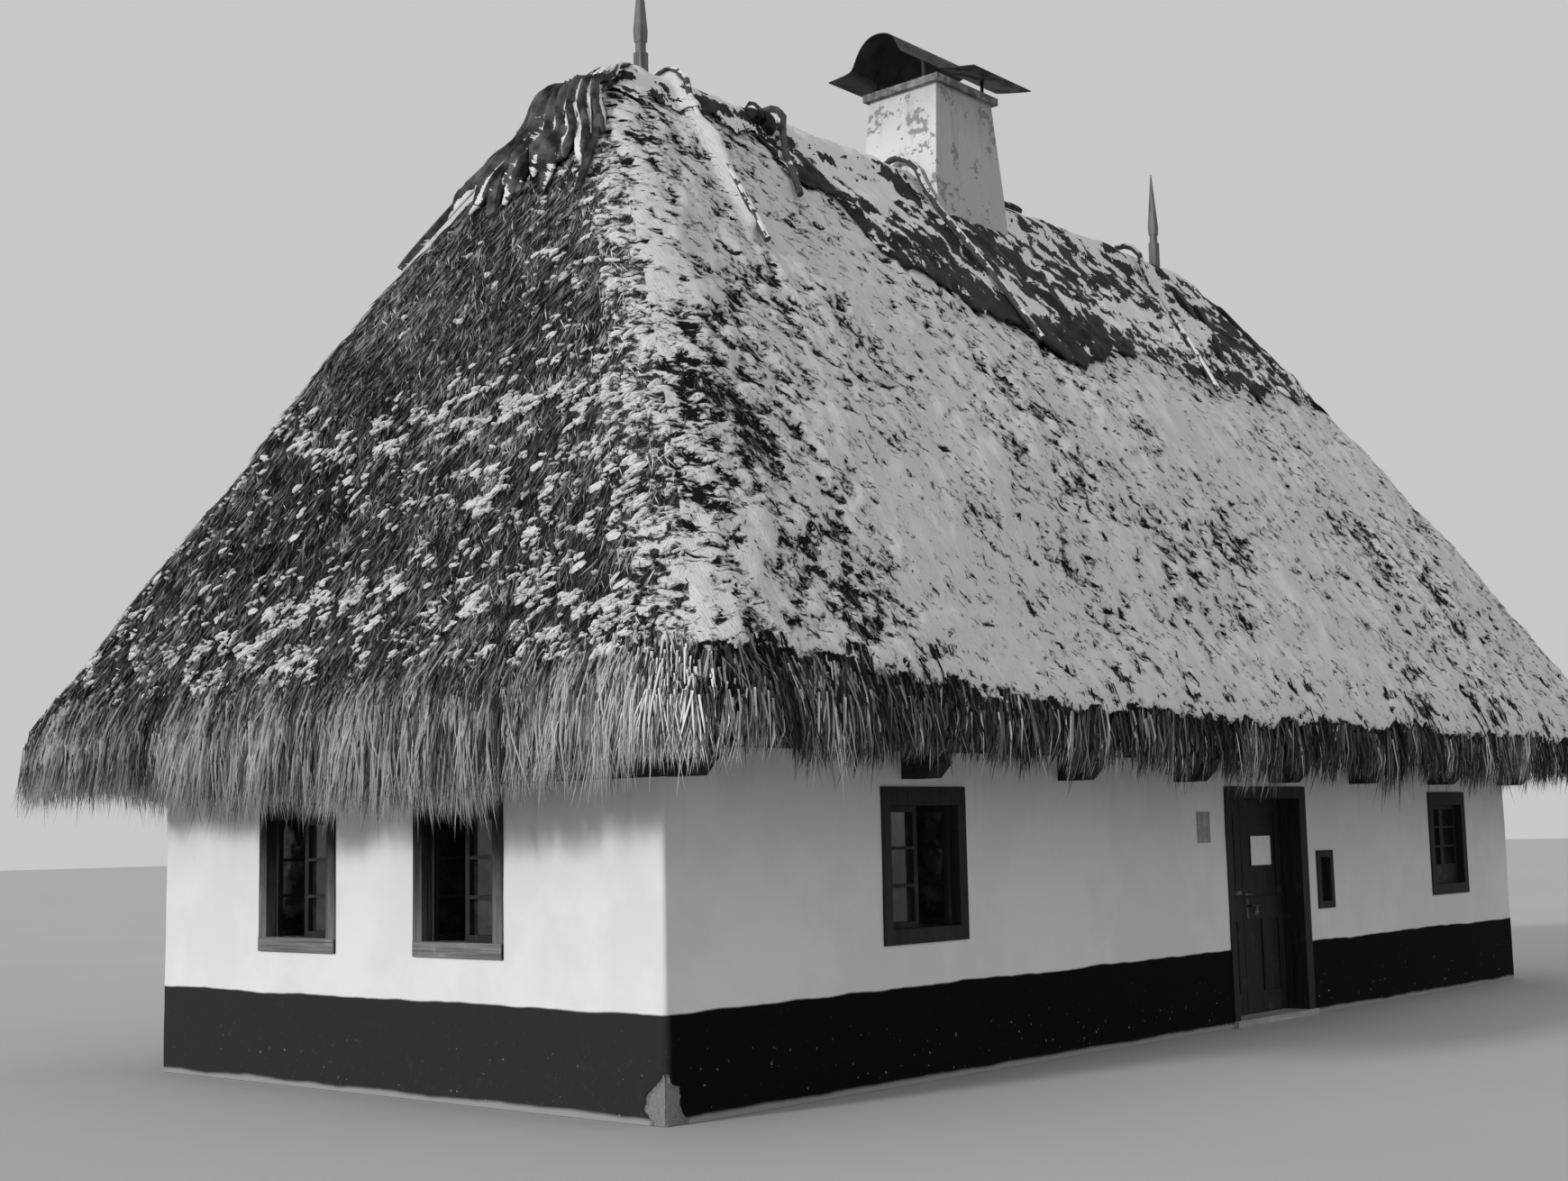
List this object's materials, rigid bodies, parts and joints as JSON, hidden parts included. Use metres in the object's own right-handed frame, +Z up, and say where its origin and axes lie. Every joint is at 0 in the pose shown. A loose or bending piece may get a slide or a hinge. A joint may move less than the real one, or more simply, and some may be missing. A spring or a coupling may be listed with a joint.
{
  "type": "thatched farmhouse",
  "caption": "Whitewashed earth-walled farmhouse with a steep hipped thatch roof, carved ridge posts, a capped plaster chimney, framed windows and a panelled door.",
  "frame": {"origin": "middle of the house's box, on the ground", "axes": "+Z up, +X along the long front towards the blank gable, +Y from the door front to the back"},
  "size_m": [14.3, 7.54, 9],
  "materials": {
    "plaster": "limewashed clay plaster, matte, with a dark painted foot",
    "earth": "beaten earth, matte",
    "mortar": "weathered mortar slab, matte",
    "dark_timber": "dark weathered timber",
    "grey_timber": "grey weathered timber",
    "thatch": "old straw thatch with snow lying on it",
    "felt": "torn tarred felt",
    "window_glass": "old clear window glass",
    "iron": "wrought iron, dull",
    "sheet_metal": "dark painted sheet, weathered"
  },
  "bodies": {
    "house": {"ceiling_boards": "grey_timber", "chimney_cap": "sheet_metal", "chimney_slab": "mortar", "chimney_stack": "plaster", "door_frame": "dark_timber", "eave_plate_back": "dark_timber", "eave_plate_front": "dark_timber", "eave_plate_left": "dark_timber", "eave_plate_right": "dark_timber", "floor": "earth", "glass_front": "window_glass", "glass_gable_back": "window_glass", "glass_gable_front": "window_glass", "glass_right": "window_glass", "glass_small": "window_glass", "ridge_felt": "felt", "ridge_post_1": "grey_timber", "ridge_post_2": "grey_timber", "ridge_rod_1": "dark_timber", "ridge_rod_2": "dark_timber", "ridge_rod_3": "dark_timber", "ridge_rod_4": "dark_timber", "thatch_back": "thatch", "thatch_front": "thatch", "thatch_left": "thatch", "thatch_right": "thatch", "threshold": "grey_timber", "tie_beam_1": "dark_timber", "tie_beam_2": "dark_timber", "tie_beam_3": "dark_timber", "tie_beam_4": "dark_timber", "tie_beam_5": "dark_timber", "tie_beam_6": "dark_timber", "tie_beam_7": "dark_timber", "tie_beam_8": "dark_timber", "wall_back": "plaster", "wall_front_left": "plaster", "wall_front_right": "plaster", "wall_gable_left": "plaster", "wall_gable_right": "plaster", "wall_over_door": "plaster", "window_frame_front": "dark_timber", "window_frame_gable_back": "grey_timber", "window_frame_gable_front": "grey_timber", "window_frame_right": "dark_timber", "window_frame_small": "dark_timber", "window_leaf_front_left": "dark_timber", "window_leaf_front_right": "dark_timber", "window_leaf_gable_back_left": "dark_timber", "window_leaf_gable_back_right": "dark_timber", "window_leaf_gable_front_left": "dark_timber", "window_leaf_gable_front_right": "dark_timber", "window_leaf_right_left": "dark_timber", "window_leaf_right_right": "dark_timber", "window_leaf_small": "dark_timber"},
    "door_leaf": {"door_leaf": "dark_timber", "door_handle": "iron"},
    "half_leaf": {"door_half_leaf": "dark_timber"}
  },
  "joints": [
    {"name": "door_leaf_hinge", "type": "hinge", "parent": "house", "child": "door_leaf", "pos_m": [1.674, -2.424, 0.97], "axis": [0, 0, -1], "range_deg": [0, 90]},
    {"name": "half_leaf_hinge", "type": "hinge", "parent": "house", "child": "half_leaf", "pos_m": [0.386, -2.424, 0.97], "axis": [0, 0, 1], "range_deg": [0, 90]}
  ]
}
